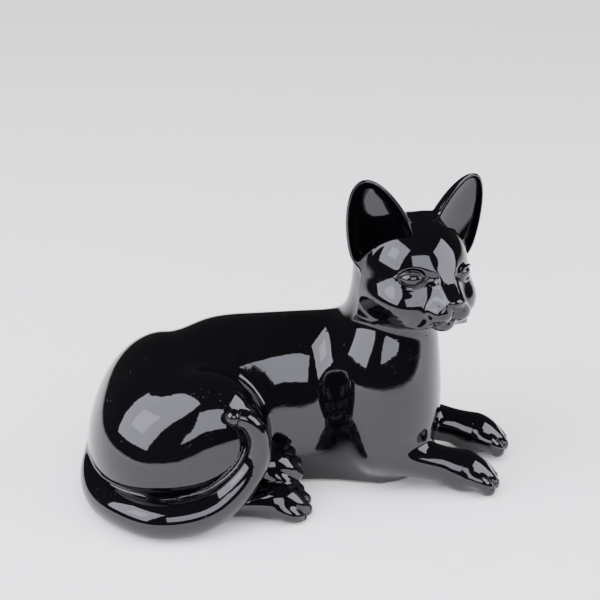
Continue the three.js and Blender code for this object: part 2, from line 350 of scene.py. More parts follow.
@dataclass(frozen=True)
class Head:
    """Skull and face. Its own frame has the nose along +X, the left ear along +Y and the crown along +Z.

    Attributes:
        centre: Middle of the skull, in the cat's frame.
        axes: Its own axes, in the cat's frame.
        skull: The round of the cranium.
        cheeks: The wide round under it.
        jowl: The side of the jaw.
        whisker_pad: The swell beside the nose.
        eye: Middle of the left eye.
        eye_radii: Of the eyeball.
        eye_turn: How far the eye looks aside, in degrees.
        snout: Planes of the nose bridge and muzzle, each with its outward direction and its distance.
    """

    centre: Vec = (80, -20, 150)
    axes: Array = field(default_factory=lambda: turn(z=-60) @ turn(x=-5))
    skull: Ellipsoid = Ellipsoid((-5, 0, -1), (35, 34, 33))
    cheeks: Ellipsoid = Ellipsoid((2, 0, -19), (30, 36, 17))
    jowl: Ellipsoid = Ellipsoid((12, 18, -19.5), (19, 15, 12))
    whisker_pad: Ellipsoid = Ellipsoid((37, 6.6, -18.5), (9.5, 8.2, 7.3))
    eye: Vec = (19.2, 18.0, -0.4)
    eye_radii: Vec = (7.6, 8.8, 5.8)
    eye_turn: float = 36
    snout: Sequence[Vec4] = (
        (0.635, 0, 0.773, 22.4),
        (0.348, 0.877, 0.332, 18.4),
        (1, 0, 0, 46.5),
        (0.85, 0, -0.526, 46),
        (0, 0, -1, 31),
        (-1, 0, 0, 5),
    )

    def local(self, points: Array) -> Array:
        """Turns points into the head's own frame."""
        return (points - np.asarray(self.centre)) @ self.axes

    def distance(self, points: Array) -> Array:
        """Distance to the head without its ears.

        Args:
            points: Where to look, in millimetres.

        Returns:
            Distances.
        """
        p = self.local(points)
        half = np.column_stack([p[:, 0], np.abs(p[:, 1]), p[:, 2]])
        field = merge(self.skull.distance(p), self.cheeks.distance(p), 20)
        field = merge(field, self.jowl.distance(half), 14)
        field = merge(field, facets(half, self.snout, 3.5), 9)
        field = merge(field, self.whisker_pad.distance(half), 5)
        field = self._eyes(field, half)
        return self._nose_and_mouth(field, p, half)

    def _eyes(self, field: Array, half: Array) -> Array:
        """Presses in the sockets, and sets in the eyes with their lids.

        Args:
            field: Distances to the head so far.
            half: Points in the head's own frame, folded onto its left side.

        Returns:
            Distances to the head with it.
        """
        axes = turn(z=self.eye_turn) @ turn(x=-8)
        out, up = np.asarray(axes[:, 0]), np.asarray(axes[:, 2])
        eye = np.asarray(self.eye)
        hollow = ((33.5, 11.5, 2.5), (32, 16.5, 2.5), (28.3, 23, 2), (21.3, 31.5, 1), (12.5, 38, -1))
        field = carve(field, Limb(hollow, (5.2, 7.0, 8.0, 6.3, 3.4)).distance(half), 2.2)
        ball = Ellipsoid(self.eye, self.eye_radii, axes).distance(half)
        corners = [(-9.8, -0.4), (-5.9, 3.5), (0, 5.0), (5.9, 3.7), (10, 0.8)]
        lid_round, lid_half_width = 7.6, 10.8
        for sign in (1, -1):
            line = []
            for aside, rise in corners:
                inside = 1 - (aside / lid_half_width) ** 2 - (rise / lid_round) ** 2
                away = lid_round * math.sqrt(max(0.0, inside))
                line.append(tuple(eye + out * away + axes[:, 1] * aside + up * rise * sign))
            lid = Limb(line, (0.5, 0.9, 1.05, 0.9, 0.5)).distance(half)
            ball = merge(ball, lid, 0.9)
        return merge(field, ball, 1.5)

    def _nose_and_mouth(self, field: Array, p: Array, half: Array) -> Array:
        """Adds the nose leather, the nostrils, the lips and the chin.

        Args:
            field: Distances to the head so far.
            p: Points in the head's own frame.
            half: The same, folded onto its left side.

        Returns:
            Distances to the head with them.
        """
        chin = Ellipsoid((31.5, 0, -28.5), (8.5, 8, 5.8)).distance(p)
        field = merge(field, chin, 3)
        lips = ((45, 0, -23.5), (41, 6, -25), (34, 12, -24), (25, 18, -20.5))
        field = carve(field, Limb(lips, (1.0, 1.0, 0.9, 0.6), 18).distance(half), 1.8)
        cleft = Limb(((47.5, 0, -14), (46.5, 0, -23)), (0.7, 0.7), 2)
        field = carve(field, cleft.distance(p), 1.6)
        leather = Ellipsoid((44.5, 0, -10.5), (4, 6.6, 3.9), turn(y=30)).distance(p)
        field = merge(field, leather, 1.8)
        nostril = Limb(((48.6, 3.0, -12), (46.5, 5.8, -11.6)), (0.9, 0.5), 3).distance(half)
        return carve(field, nostril, 1.0)


@dataclass(frozen=True)
class Ear:
    """One ear, a cupped blade. Its own frame has its opening along +X, outwards along +Y, its tip along +Z.

    Attributes:
        side: 1 for the left ear and -1 for the right one.
        head: The head it stands on.
        foot: Its middle where it leaves the left of the skull, in the head's frame.
        opening: How far aside it opens, in degrees.
        lean: How far outwards it leans, in degrees.
        height: From its foot to its tip.
        half_width: Half its width at the foot.
        depth: From its opening to its back.
        point: How pointed it is: 2 is round, and 1 is sharp.
        root: How far it reaches into the skull.
        rim: Thickness of its edge.
        shell: Thickness of its back.
        front: How far it stands out in front of its opening.
    """

    side: int
    head: Head
    foot: Vec = (-5, 25.5, 13.5)
    opening: float = 12
    lean: float = 20.5
    height: float = 45
    half_width: float = 24
    depth: float = 18
    point: float = 1.5
    root: float = 20
    rim: float = 1.9
    shell: float = 2.6
    front: float = 3.0

    def local(self, points: Array) -> Array:
        """Turns points into the ear's own frame."""
        p = self.head.local(points) * (1, self.side, 1)
        return (p - np.asarray(self.foot)) @ (turn(z=self.opening) @ turn(x=-self.lean))

    def _leaf(self, p: Array, thinner: float, front: float) -> Array:
        """Distance to the blade, or to what is pressed out of it: a leaf with a round tip.

        Args:
            p: Points in the ear's own frame.
            thinner: How much smaller than the blade the leaf is.
            front: How far it stands out in front.

        Returns:
            Distances.
        """
        half, tall = self.half_width - thinner, self.height - thinner
        deep = np.where(p[:, 0] < 0, self.depth - thinner * self.shell / self.rim, front)
        up, down = np.maximum(p[:, 2], 0) / tall, np.maximum(-p[:, 2], 0) / self.root
        first = np.sqrt((p[:, 1] / half) ** 2 + (p[:, 0] / deep) ** 2 + up**self.point + down**2) + 1e-9
        rise = self.point * up ** (self.point - 1) / (2 * tall) + down / self.root
        slope = np.sqrt((p[:, 1] / half**2) ** 2 + (p[:, 0] / deep**2) ** 2 + rise**2) + 1e-9
        return first * (first - 1) / slope

    def distance(self, points: Array) -> Array:
        """Distance to the ear before it is hollowed."""
        p = self.local(points)
        return self._leaf(p, 0, self.front)

    def hollow(self, points: Array) -> Array:
        """Distance to what is pressed out of the ear and of the skull in front of it.

        Args:
            points: Where to look, in millimetres.

        Returns:
            Distances.
        """
        p = self.local(points)
        endless = 400.0
        leaf = self._leaf(np.column_stack([np.minimum(p[:, 0], 0), p[:, 1:]]), self.rim, endless)
        floor = (-1 + 0.9 * p[:, 0] - 0.014 * (p[:, 1] + 3) ** 2 - p[:, 2]) * 0.72
        return carve(leaf, -floor, 5)


@dataclass(frozen=True)
class Cup:
    """The hollow of an ear, as a form."""

    ear: Ear

    def distance(self, points: Array) -> Array:
        """Distance to the hollow."""
        return self.ear.hollow(points)


@dataclass(frozen=True)
class Foreleg:
    """A foreleg lying on the table, from inside the shoulder to the toes.

    Attributes:
        elbow: Where it starts, inside the shoulder.
        reach: From there to the middle of the paw.
        sweep: How far it swings aside over that length.
        roll: How far the paw leans over, in degrees.
    """

    elbow: Vec
    reach: float = 58
    sweep: float = -2
    roll: float = 6

    def distance(self, points: Array) -> Array:
        """Distance to the foreleg.

        Args:
            points: Where to look, in millimetres.

        Returns:
            Distances.
        """
        p = points - np.asarray(self.elbow)
        wrist = (self.reach - 4, self.sweep, -14)
        line = ((0, 0, 0), (20, self.sweep * 0.3, -6), (40, self.sweep * 0.7, -11), wrist)
        arm = Limb(line, (17, 14, 12, 11.5)).distance(p)
        foot = (p - (self.reach, self.sweep, -30)) @ turn(x=self.roll)
        return merge(arm, paw(foot, 14), 8)


def paw(p: Array, height: float, width: float = 14) -> Array:
    """Distance to a paw about the middle of its sole, with four toes along +X.

    Args:
        p: Points in the paw's own frame.
        height: Height of the middle of the paw's back.
        width: Half the paw's width.

    Returns:
        Distances.
    """
    palm = Ellipsoid((-2, 0, height - 1), (17, width * 0.9, height - 1)).distance(p)
    toes = None
    for k, (aside, ahead) in enumerate(((-1.5, -3), (-0.5, 0.5), (0.5, 0), (1.5, -4))):
        y = aside * width * 0.52
        knuckle, joint, tip = (3 + ahead, y * 0.8), (10 + ahead, y), (15 + ahead, y * 1.02)
        line = ((*knuckle, height + 1), (*joint, height - 1), (*tip, height - 6.5))
        toe = Limb(line, (5.6, 5.5, 5.1), 6).distance(p)
        toes = toe if toes is None else merge(toes, toe, 1.6)
    return merge(palm, toes, 4)


@dataclass(frozen=True)
class HindFoot:
    """A hind foot, from under the thigh to the toes.

    Attributes:
        sole: Middle of the paw's sole.
        heading: Where it points, in degrees from +X.
        roll: How far it leans over, in degrees.
        metatarsus: Length behind the middle of the paw.
    """

    sole: Vec
    heading: float
    roll: float
    metatarsus: float = 46

    def distance(self, points: Array) -> Array:
        """Distance to the foot.

        Args:
            points: Where to look, in millimetres.

        Returns:
            Distances.
        """
        p = (points - np.asarray(self.sole)) @ turn(z=self.heading) @ turn(x=self.roll)
        shaft = Limb(((-self.metatarsus, 0, 11), (-22, 0, 12), (-4, 0, 12)), (9, 10, 11)).distance(p)
        return merge(shaft, paw(p, 13, 13.5), 6)


@dataclass(frozen=True)
class Tail:
    """The tail: down the rump, round the haunch on the table, up the thigh and curled at the tip."""

    line: Sequence[Vec] = (
        (-108, -6, 46),
        (-123, -34, 32),
        (-128, -58, 18),
        (-122, -80, 13),
        (-106, -99, 12.5),
        (-88, -109.5, 12.5),
        (-68, -109, 13.5),
        (-50, -103, 18),
        (-36, -97, 28),
        (-26, -93, 41),
        (-22, -92, 55),
        (-24.5, -92, 67),
        (-31, -93, 75),
        (-38, -94, 77),
    )
    radii: Sequence[float] = (9, 11.5, 12, 12, 12, 12, 12, 11.3, 10.3, 9, 7.8, 7, 6.3, 5.4)

    def distance(self, points: Array) -> Array:
        """Distance to the tail."""
        return Limb(self.line, self.radii, 40).distance(points)


@dataclass(frozen=True)
class Bound:
    """A form with the box that holds it, so that far points cost nothing.

    Attributes:
        name: The CAD node of a part, or a plain word.
        form: What has a distance.
        low: Lowest corner of its box.
        high: Highest corner.
        fillet: How softly it flows into what it is stuck to.
        margin: How far outside the box the true distance is still worked out.
    """

    name: str
    form: object
    low: Vec
    high: Vec
    fillet: float = 2.0
    margin: float = 14.0

    def distance(self, points: Array) -> Array:
        """Distance to the form, or to its box where that is far away.

        Args:
            points: Where to look, in millimetres.

        Returns:
            Distances.
        """
        low, high = np.asarray(self.low, points.dtype), np.asarray(self.high, points.dtype)
        gap = np.maximum(np.maximum(low - points, points - high), 0)
        field = np.sqrt((gap**2).sum(1))
        near = field < self.margin
        if near.any():
            field[near] = self.form.distance(points[near])
        return field


HEAD = Head()
RIGHT_EAR = Ear(-1, HEAD, lean=22, half_width=22.5, opening=34)
LEFT_EAR = Ear(1, HEAD, foot=(-5, 27.5, 13.5), lean=24, height=44, depth=15)


class Cut(Enum):
    """Which of the castings a mesh is for."""

    BODY = "body"
    HEAD = "head"
    PART = "part"


class Cat:
    """The whole figurine as one field, and how it parts into castings.

    Attributes:
        base: Height of the flat underside over the table, in millimetres.
        seam: Height at which the head is parted from the body.
    """

    base = 1.5
    seam = 118.0
    vent_centre = (-10, -6)
    vent_radius = 7
    vent_top = 16

    def __init__(self) -> None:
        """Lays out the sub-assemblies."""
        self.body = Bound("body", Body(), (-138, -112, -20), (100, 56, 160))
        self.head = Bound("head", HEAD, (34, -78, 105), (124, 28, 192))
        self.parts = [
            Bound("right_ear", RIGHT_EAR, (22, -62, 140), (84, -6, 216), 5),
            Bound("left_ear", LEFT_EAR, (84, -24, 132), (130, 36, 212), 5),
            Bound("tail", Tail(), (-148, -126, 0), (-10, 8, 88), 4),
            Bound("right_foreleg", Foreleg((56, -45, 29), reach=59), (40, -64, 0), (150, -24, 52), 7),
            Bound("left_foreleg", Foreleg((67, 5, 31), reach=59), (46, -16, 0), (154, 26, 52), 7),
            Bound("right_hind_foot", HindFoot((-9, -78, 1), 2, 30), (-66, -104, -4), (18, -58, 36), 3),
            Bound("left_hind_foot", HindFoot((-15, -62, 20), 0, 38), (-70, -84, 6), (14, -42, 52), 3),
        ]
        self.cups = [
            Bound("right_cup", Cup(RIGHT_EAR), (22, -62, 140), (84, -6, 216)),
            Bound("left_cup", Cup(LEFT_EAR), (84, -24, 132), (130, 36, 212)),
        ]

    def core(self, points: Array) -> Array:
        """Distance to the body and head, without what is stuck on."""
        return merge(self.body.distance(points), self.head.distance(points), 12)

    def _skin(self, points: Array, core: Array, parts: Sequence[Bound], gaps: Sequence[Array]) -> Array:
        """Distance to the cat, from the distances to its core and to its parts.

        Args:
            points: Where to look, in millimetres.
            core: Distances to the body and head.
            parts: What is stuck on.
            gaps: Distances to each of those.

        Returns:
            Distances.
        """
        field = core
        for part, gap in zip(parts, gaps):
            field = merge(field, gap, part.fillet)
        if any(part.name.endswith("ear") for part in parts):
            for cup in self.cups:
                field = carve(field, cup.distance(points), 1.1)
        return carve(field, points[:, 2] - self.base, 2.5)

    def vent(self, points: Array) -> Array:
        """Distance to the round vent hole under the body, which is blind here."""
        offset = points[:, :2] - np.asarray(self.vent_centre)
        return np.maximum(np.sqrt((offset**2).sum(1)) - self.vent_radius, points[:, 2] - self.vent_top)

    def casting(self, cut: Cut, low: Vec, high: Vec, name: str = "") -> Twin:
        """The two fields of a casting: its skin, and its cut towards the neighbours.

        Args:
            cut: What sort of casting it is.
            low: Lowest corner of the space that is looked at.
            high: Highest corner.
            name: The part, for a casting of a part.

        Returns:
            A function from points to both fields.
        """
        room = 14
        parts = [
            p
            for p in self.parts
            if all(a - room < d and b + room > c for a, b, c, d in zip(p.low, p.high, low, high))
        ]

        def fields(points: Array) -> tuple[Array, Array]:
            """The skin and the cut, at the points."""
            core = self.core(points)
            gaps = [part.distance(points) for part in parts]
            skin = self._skin(points, core, parts, gaps)
            own = [gap for part, gap in zip(parts, gaps) if part.name == name]
            if own:
                others = [core] + [gap for part, gap in zip(parts, gaps) if part.name != name]
                return skin, (own[0] - np.minimum.reduce(others)) / 2
            cuts = [(core - gap) / 2 for gap in gaps]
            over = points[:, 2] - self.seam
            cuts += [over, -self.vent(points)] if cut is Cut.BODY else [-over]
            return skin, np.maximum.reduce(cuts)

        return fields


# ---------------------------------------------------------------------------------------------
# Meshing: the surface where a field is zero
# ---------------------------------------------------------------------------------------------

CORNERS = np.array([(i, j, k) for i in (0, 1) for j in (0, 1) for k in (0, 1)])
PAIRS = [(a, b) for a in range(8) for b in range(a + 1, 8)]
EDGES = [(a, b) for a, b in PAIRS if np.abs(CORNERS[a] - CORNERS[b]).sum() == 1]


@dataclass
class Mesher:
    """Meshes a casting: where both its skin and its cut are negative.

    Attributes:
        twin: From points to the fields of the skin and of the cut.
        low: Lowest corner of the grid, in millimetres.
        high: Highest corner of the grid.
        cell: Size of a cell.
        block: Cells along the side of a block that is sampled or skipped as a whole.
        batch: How many points are looked at together.
        chunk: How many blocks are sampled together.
        near: How many block sizes from the surface a block is still sampled.
        far: What stands for the distance in a block that is skipped.
    """

    twin: Twin
    low: Array
    high: Array
    cell: float
    block: int = 8
    batch: int = 40000
    chunk: int = 1500
    near: float = 1.2
    far: float = 9

    def fields(self, points: Array) -> tuple[Array, Array]:
        """Both fields, worked out in batches on several threads.

        Args:
            points: Where to look, in millimetres.

        Returns:
            The skin's distances and the cut's.
        """
        starts = range(0, len(points), self.batch)
        with ThreadPoolExecutor(4) as pool:
            found = list(pool.map(lambda at: self.twin(points[at : at + self.batch]), starts))
        return np.concatenate([f[0] for f in found]), np.concatenate([f[1] for f in found])

    def slopes(self, points: Array, skin: Array, cut: Array, step: float = 0.05) -> tuple[Array, Array]:
        """Directions in which the two fields grow.

        Args:
            points: Where to look, in millimetres.
            skin: The skin's distances there.
            cut: The cut's distances there.
            step: How far ahead the fields are looked at again.

        Returns:
            The slopes of the skin and of the cut.
        """
        across, along = np.empty_like(points), np.empty_like(points)
        for axis in range(3):
            offset = np.zeros(3)
            offset[axis] = step
            further = self.fields(points + offset)
            across[:, axis] = (further[0] - skin) / step
            along[:, axis] = (further[1] - cut) / step
        return across, along

    def samples(self) -> Array:
        """Samples the casting at the grid's nodes. Blocks far from the surface only get a sign.

        Returns:
            A grid of distances, negative inside.
        """
        size = self.block * self.cell
        blocks = np.ceil((self.high - self.low) / size).astype(int)
        index = np.stack(np.meshgrid(*[np.arange(n) for n in blocks], indexing="ij"), -1).reshape(-1, 3)
        rough = np.maximum(*self.fields(self.low + (index + 0.5) * size))
        values = np.repeat(np.sign(rough), self.block**3).astype(np.float32) * self.far
        values = values.reshape(-1, self.block**3)
        near = np.where(np.abs(rough) < size * self.near)[0]
        span = np.arange(self.block) * self.cell
        inner = np.stack(np.meshgrid(span, span, span, indexing="ij"), -1).reshape(-1, 3)
        for start in range(0, len(near), self.chunk):
            chosen = near[start : start + self.chunk]
            points = ((self.low + index[chosen] * size)[:, None] + inner[None]).reshape(-1, 3)
            values[chosen] = np.maximum(*self.fields(points)).reshape(len(chosen), -1)
        b = self.block
        grid = values.reshape(*blocks, b, b, b).transpose(0, 3, 1, 4, 2, 5)
        return np.ascontiguousarray(grid.reshape(blocks * b))

    def mesh(self) -> tuple[Array, Array, Array]:
        """Builds the surface.

        Returns:
            Vertices in millimetres, quads, and unit normals.
        """
        values = self.samples()
        inside = values < 0
        n = np.array(values.shape) - 1
        count = np.zeros(n, np.int8)
        for i, j, k in CORNERS:
            count += inside[i : i + n[0], j : j + n[1], k : k + n[2]]
        active = (count > 0) & (count < 8)
        cells = np.argwhere(active)
        number = np.full(n, -1, np.int64)
        number[active] = np.arange(len(cells))
        at = values[tuple((cells[:, None] + CORNERS[None]).transpose(2, 0, 1))]
        total = np.zeros((len(cells), 3))
        crossings = np.zeros(len(cells))
        for a, b in EDGES:
            cut = (at[:, a] < 0) != (at[:, b] < 0)
            share = np.where(cut, at[:, a] / np.where(cut, at[:, a] - at[:, b], 1), 0)
            total += cut[:, None] * (CORNERS[a] + share[:, None] * (CORNERS[b] - CORNERS[a]))
            crossings += cut
        points = self.low + (cells + total / crossings[:, None]) * self.cell
        quads = np.concatenate([self._quads(inside, number, axis) for axis in range(3)])
        points, normals = self._settle(points)
        return points, quads, normals

    @staticmethod
    def _quads(inside: Array, number: Array, axis: int) -> Array:
        """Quads across the grid edges that run along one axis.

        Args:
            inside: Which nodes are inside.
            number: The vertex number of each cell.
            axis: The axis.

        Returns:
            Vertex numbers, four for each face, facing outwards.
        """
        order = [axis, (axis + 1) % 3, (axis + 2) % 3]
        flags = inside.transpose(order)
        cells = number.transpose(order)
        first, second = flags[:-1, 1:-1, 1:-1], flags[1:, 1:-1, 1:-1]
        where = np.argwhere(first != second)
        i, j, k = where[:, 0], where[:, 1], where[:, 2]
        ring = [cells[i, j, k], cells[i, j + 1, k], cells[i, j + 1, k + 1], cells[i, j, k + 1]]
        quads = np.column_stack(ring)
        outward = first[i, j, k]
        quads[~outward] = quads[~outward][:, ::-1]
        return quads

    def _settle(self, points: Array) -> tuple[Array, Array]:
        """Moves vertices onto the exact surface, or onto the exact edge along a cut.

        Args:
            points: The vertices, in millimetres.

        Returns:
            The moved vertices, and unit normals.
        """
        skin, cut = self.fields(points)
        across, along = self.slopes(points, skin, cut)
        for _ in range(2):
            aa = (across**2).sum(1) + 1e-9
            bb = (along**2).sum(1) + 1e-9
            ab = (across * along).sum(1)
            spread = np.maximum(aa * bb - ab**2, 0.02 * aa * bb)
            p = (ab * cut - bb * skin) / spread
            q = (ab * skin - aa * cut) / spread
            edge = (np.abs(skin) < self.cell * 0.9) & (np.abs(cut) < self.cell * 0.9)
            to_skin, to_cut = across * (-skin / aa)[:, None], along * (-cut / bb)[:, None]
            shift = np.where((skin > cut)[:, None], to_skin, to_cut)
            shift[edge] = (across * p[:, None] + along * q[:, None])[edge]
            size = np.linalg.norm(shift, axis=1)
            points = points + shift * np.minimum(1, self.cell * 0.6 / (size + 1e-9))[:, None]
            skin, cut = self.fields(points)
            across, along = self.slopes(points, skin, cut)
        normals = np.where((skin > -0.2)[:, None], across, along)
        return points, normals / (np.linalg.norm(normals, axis=1)[:, None] + 1e-9)


def mesh_object(name: str, points: Array, quads: Array, normals: Array) -> bpy.types.Object:
    """Makes a Blender object of a meshed casting.

    Args:
        name: The piece's name.
        points: Vertices in metres, in the row frame.
        quads: Vertex numbers, four for each face.
        normals: Unit normals, one for each vertex.

    Returns:
        The object, linked to the scene.
    """
    mesh = bpy.data.meshes.new(name)
    mesh.vertices.add(len(points))
    mesh.vertices.foreach_set("co", points.astype(np.float32).ravel())
    mesh.loops.add(quads.size)
    mesh.loops.foreach_set("vertex_index", quads.astype(np.int32).ravel())
    mesh.polygons.add(len(quads))
    mesh.polygons.foreach_set("loop_start", np.arange(0, quads.size, 4, dtype=np.int32))
    mesh.polygons.foreach_set("use_smooth", np.ones(len(quads), bool))
    mesh.update(calc_edges=True)
    mesh.validate()
    mesh.normals_split_custom_set_from_vertices(normals.astype(np.float32))
    obj = bpy.data.objects.new(name, mesh)
    bpy.context.scene.collection.objects.link(obj)
    return obj


# ---------------------------------------------------------------------------------------------
# Shader maths
# ---------------------------------------------------------------------------------------------


class Socket:
    """An output of a shader node that can be used in Python expressions."""

    def __init__(self, tree: bpy.types.NodeTree, output: bpy.types.NodeSocket) -> None:
        """Wraps an output.

        Args:
            tree: The node tree it belongs to.
            output: The socket.
        """
        self.tree = tree
        self.output = output

    def node(self, kind: str, settings: dict, inputs: dict, out: int | str = 0) -> "Socket":
        """Adds any node.

        Args:
            kind: The node's type.
            settings: Its properties.
            inputs: Its input sockets, by name or number: values, or Sockets to link.
            out: Which output to return.

        Returns:
            The new node's output.
        """
        node = self.tree.nodes.new(kind)
        for name, value in settings.items():
            setattr(node, name, value)
        for name, value in inputs.items():
            if isinstance(value, Socket):
                self.tree.links.new(value.output, node.inputs[name])
            else:
                node.inputs[name].default_value = value
        return Socket(self.tree, node.outputs[out])

    def _math(self, operation: str, *terms: "Socket | float", clamp: bool = False) -> "Socket":
        """Adds a maths node."""
        settings = {"operation": operation, "use_clamp": clamp}
        return self.node("ShaderNodeMath", settings, dict(enumerate(terms)))

    def __add__(self, other: "Socket | float") -> "Socket":
        """This plus another."""
        return self._math("ADD", self, other)

    def __radd__(self, other: float) -> "Socket":
        """A number plus this."""
        return self._math("ADD", other, self)

    def __sub__(self, other: "Socket | float") -> "Socket":
        """This minus another."""
        return self._math("SUBTRACT", self, other)

    def __rsub__(self, other: float) -> "Socket":
        """A number minus this."""
        return self._math("SUBTRACT", other, self)

    def __mul__(self, other: "Socket | float") -> "Socket":
        """This times another."""
        return self._math("MULTIPLY", self, other)

    def above(self, edge: float, soft: float) -> "Socket":
        """0 below an edge and 1 above it, over a soft width."""
        return self._math("MULTIPLY", self - (edge - soft / 2), 1 / soft, clamp=True)

    def below(self, edge: float, soft: float) -> "Socket":
        """1 below an edge and 0 above it."""
        return 1 - self.above(edge, soft)

    def axis(self, name: str) -> "Socket":
        """One component of a vector."""
        return self.node("ShaderNodeSeparateXYZ", {}, {0: self}, name)

    def noise(self, scale: float, detail: float = 2.0, roughness: float = 0.5) -> "Socket":
        """Fractal noise at this position, from 0 to 1."""
        inputs = {"Vector": self, "Scale": scale, "Detail": detail, "Roughness": roughness}
        return self.node("ShaderNodeTexNoise", {}, inputs, "Fac")

    def cells(self, scale: float) -> "Socket":
        """Distance to the nearest scattered point, at this position."""
        return self.node("ShaderNodeTexVoronoi", {}, {"Vector": self, "Scale": scale}, "Distance")

    def blend(self, first: "Socket | Vec", second: "Socket | Vec") -> "Socket":
        """A colour between two, by this factor.

        Args:
            first: The colour where the factor is 0.
            second: The colour where it is 1.

        Returns:
            The colour.
        """
        factor, colour_a, colour_b, colour_out = 0, 6, 7, 2
        ends = [v if isinstance(v, Socket) else (*v, 1) for v in (first, second)]
        inputs = {factor: self, colour_a: ends[0], colour_b: ends[1]}
        return self.node("ShaderNodeMix", {"data_type": "RGBA"}, inputs, colour_out)


def blank_material(name: str) -> tuple[bpy.types.Material, bpy.types.Node, Socket]:
    """Makes a material with a Principled shader.

    Args:
        name: The material's name.

    Returns:
        The material, its Principled node, and the object coordinates.
    """
    material = bpy.data.materials.new(name)
    material.use_nodes = True
    tree = material.node_tree
    shader = next(n for n in tree.nodes if n.type == "BSDF_PRINCIPLED")
    coordinates = tree.nodes.new("ShaderNodeTexCoord")
    return material, shader, Socket(tree, coordinates.outputs["Object"])


@dataclass(frozen=True)
class Glaze:
    """Black glaze over a pale clay body. The clay shows under the base, where the glaze is wiped off.

    Attributes:
        tint: Colour of the glaze.
        clay: Colour of the bare clay.
        roughness: Of the fired glaze.
        foot: Height in metres up to which the glaze is wiped off.
        speck: Colour of the few specks in the glaze.
    """

    tint: Vec = (0.0011, 0.0011, 0.0014)
    clay: Vec = (0.62, 0.52, 0.42)
    roughness: float = 0.045
    foot: float = 0.0022
    speck: Vec = (0.12, 0.12, 0.12)

    def material(self) -> bpy.types.Material:
        """Builds the material."""
        material, shader, place = blank_material("black_glaze")
        tree = material.node_tree
        glazed = place.axis("Z").above(self.foot, 0.0004)
        cloud = place.noise(18, 3)
        dust = place.cells(520).below(0.09, 0.05) * place.noise(60, 2).above(0.62, 0.04)
        tint = (cloud * 0.8 + 0.1).blend(self.tint, tuple(v * 2.2 for v in self.tint))
        surface = glazed.blend(self.clay, dust.blend(tint, self.speck))
        tree.links.new(surface.output, shader.inputs["Base Color"])
        rough = glazed * (cloud * 0.03 + (self.roughness - 0.015) + dust * 0.3) + (1 - glazed) * 0.85
        tree.links.new(rough.output, shader.inputs["Roughness"])
        ripple = place.noise(95, 1.5) * 0.6 + place.noise(310, 1) * 0.16
        pits = place.cells(150).below(0.05, 0.05) * place.noise(40, 1).above(0.6, 0.05)
        grain = (1 - glazed) * place.noise(900, 4) * 0.5
        relief = ripple - pits * 0.8 + grain
        inputs = {"Height": relief, "Strength": 0.35, "Distance": 0.00035}
        bump = place.node("ShaderNodeBump", {}, inputs)
        tree.links.new(bump.output, shader.inputs["Normal"])
        shader.inputs["IOR"].default_value = 1.52
        return material


@dataclass(frozen=True)
class Felt:
    """Dense pressed felt."""

    dark: Vec = (0.018, 0.017, 0.017)
    light: Vec = (0.06, 0.058, 0.055)

    def material(self) -> bpy.types.Material:
        """Builds the material."""
        material, shader, place = blank_material("black_felt")
        tree = material.node_tree
        fibre = place.noise(2600, 6, 0.7)
        tree.links.new(fibre.blend(self.dark, self.light).output, shader.inputs["Base Color"])
        tree.links.new((0.86 + fibre * 0.12).output, shader.inputs["Roughness"])
        bump = place.node("ShaderNodeBump", {}, {"Height": fibre, "Strength": 0.8, "Distance": 0.0004})
        tree.links.new(bump.output, shader.inputs["Normal"])
        return material


# ---------------------------------------------------------------------------------------------
# Pieces
# ---------------------------------------------------------------------------------------------


class Slot(Enum):
    """The record's material slots."""

    GLAZE = "glaze"
    FELT = "felt"


@dataclass(frozen=True)
class Casting:
    """One casting of the figurine, meshed from the cat's field.

    Attributes:
        node: The CAD node that it stands for.
        cut: What sort of casting it is.
        low: Lowest corner of what it may fill, in millimetres.
        high: Highest corner.
        cell: Cell size of its mesh.
    """

    node: str
    cut: Cut
    low: Vec
    high: Vec
    cell: float

    def build(self, cat: Cat, origin: Array) -> bpy.types.Object:
        """Meshes the casting.

        Args:
            cat: The figurine.
            origin: Where the cat's own frame starts, in the row frame, in millimetres.

        Returns:
            The object.
        """
        twin = cat.casting(self.cut, self.low, self.high, self.node)
        mesher = Mesher(twin, np.asarray(self.low, float), np.asarray(self.high, float), self.cell)
        points, quads, normals = mesher.mesh()
        return mesh_object(f"glazed_{self.node}", (points + origin) * MM, quads, normals)

    def dress(self, obj: bpy.types.Object, material: bpy.types.Material) -> None:
        """Gives the casting its glaze, and ties it to its CAD node."""
        obj.data.materials.append(material)
        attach(obj, "root")
        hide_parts(self.node)


def castings(cat: Cat, coarse: float) -> list[Casting]:
    """Parts the cat into its castings.

    Args:
        cat: The figurine.
        coarse: Factor on the cell sizes.

    Returns:
        One for each glazed CAD node.
    """
    found = [
        Casting("body_casting", Cut.BODY, (-142, -116, -3), (114, 62, 124), 1.2 * coarse),
        Casting("head_casting", Cut.HEAD, (30, -82, 112), (128, 32, 192), 0.58 * coarse),
    ]
    for part in cat.parts:
        low = tuple(v - 4 for v in part.low)
        high = tuple(v + 4 for v in part.high)
        cell = 0.6 if part.name in ("tail", "right_foreleg", "left_foreleg") else 0.5
        found.append(Casting(part.name, Cut.PART, low, high, cell * coarse))
    return found


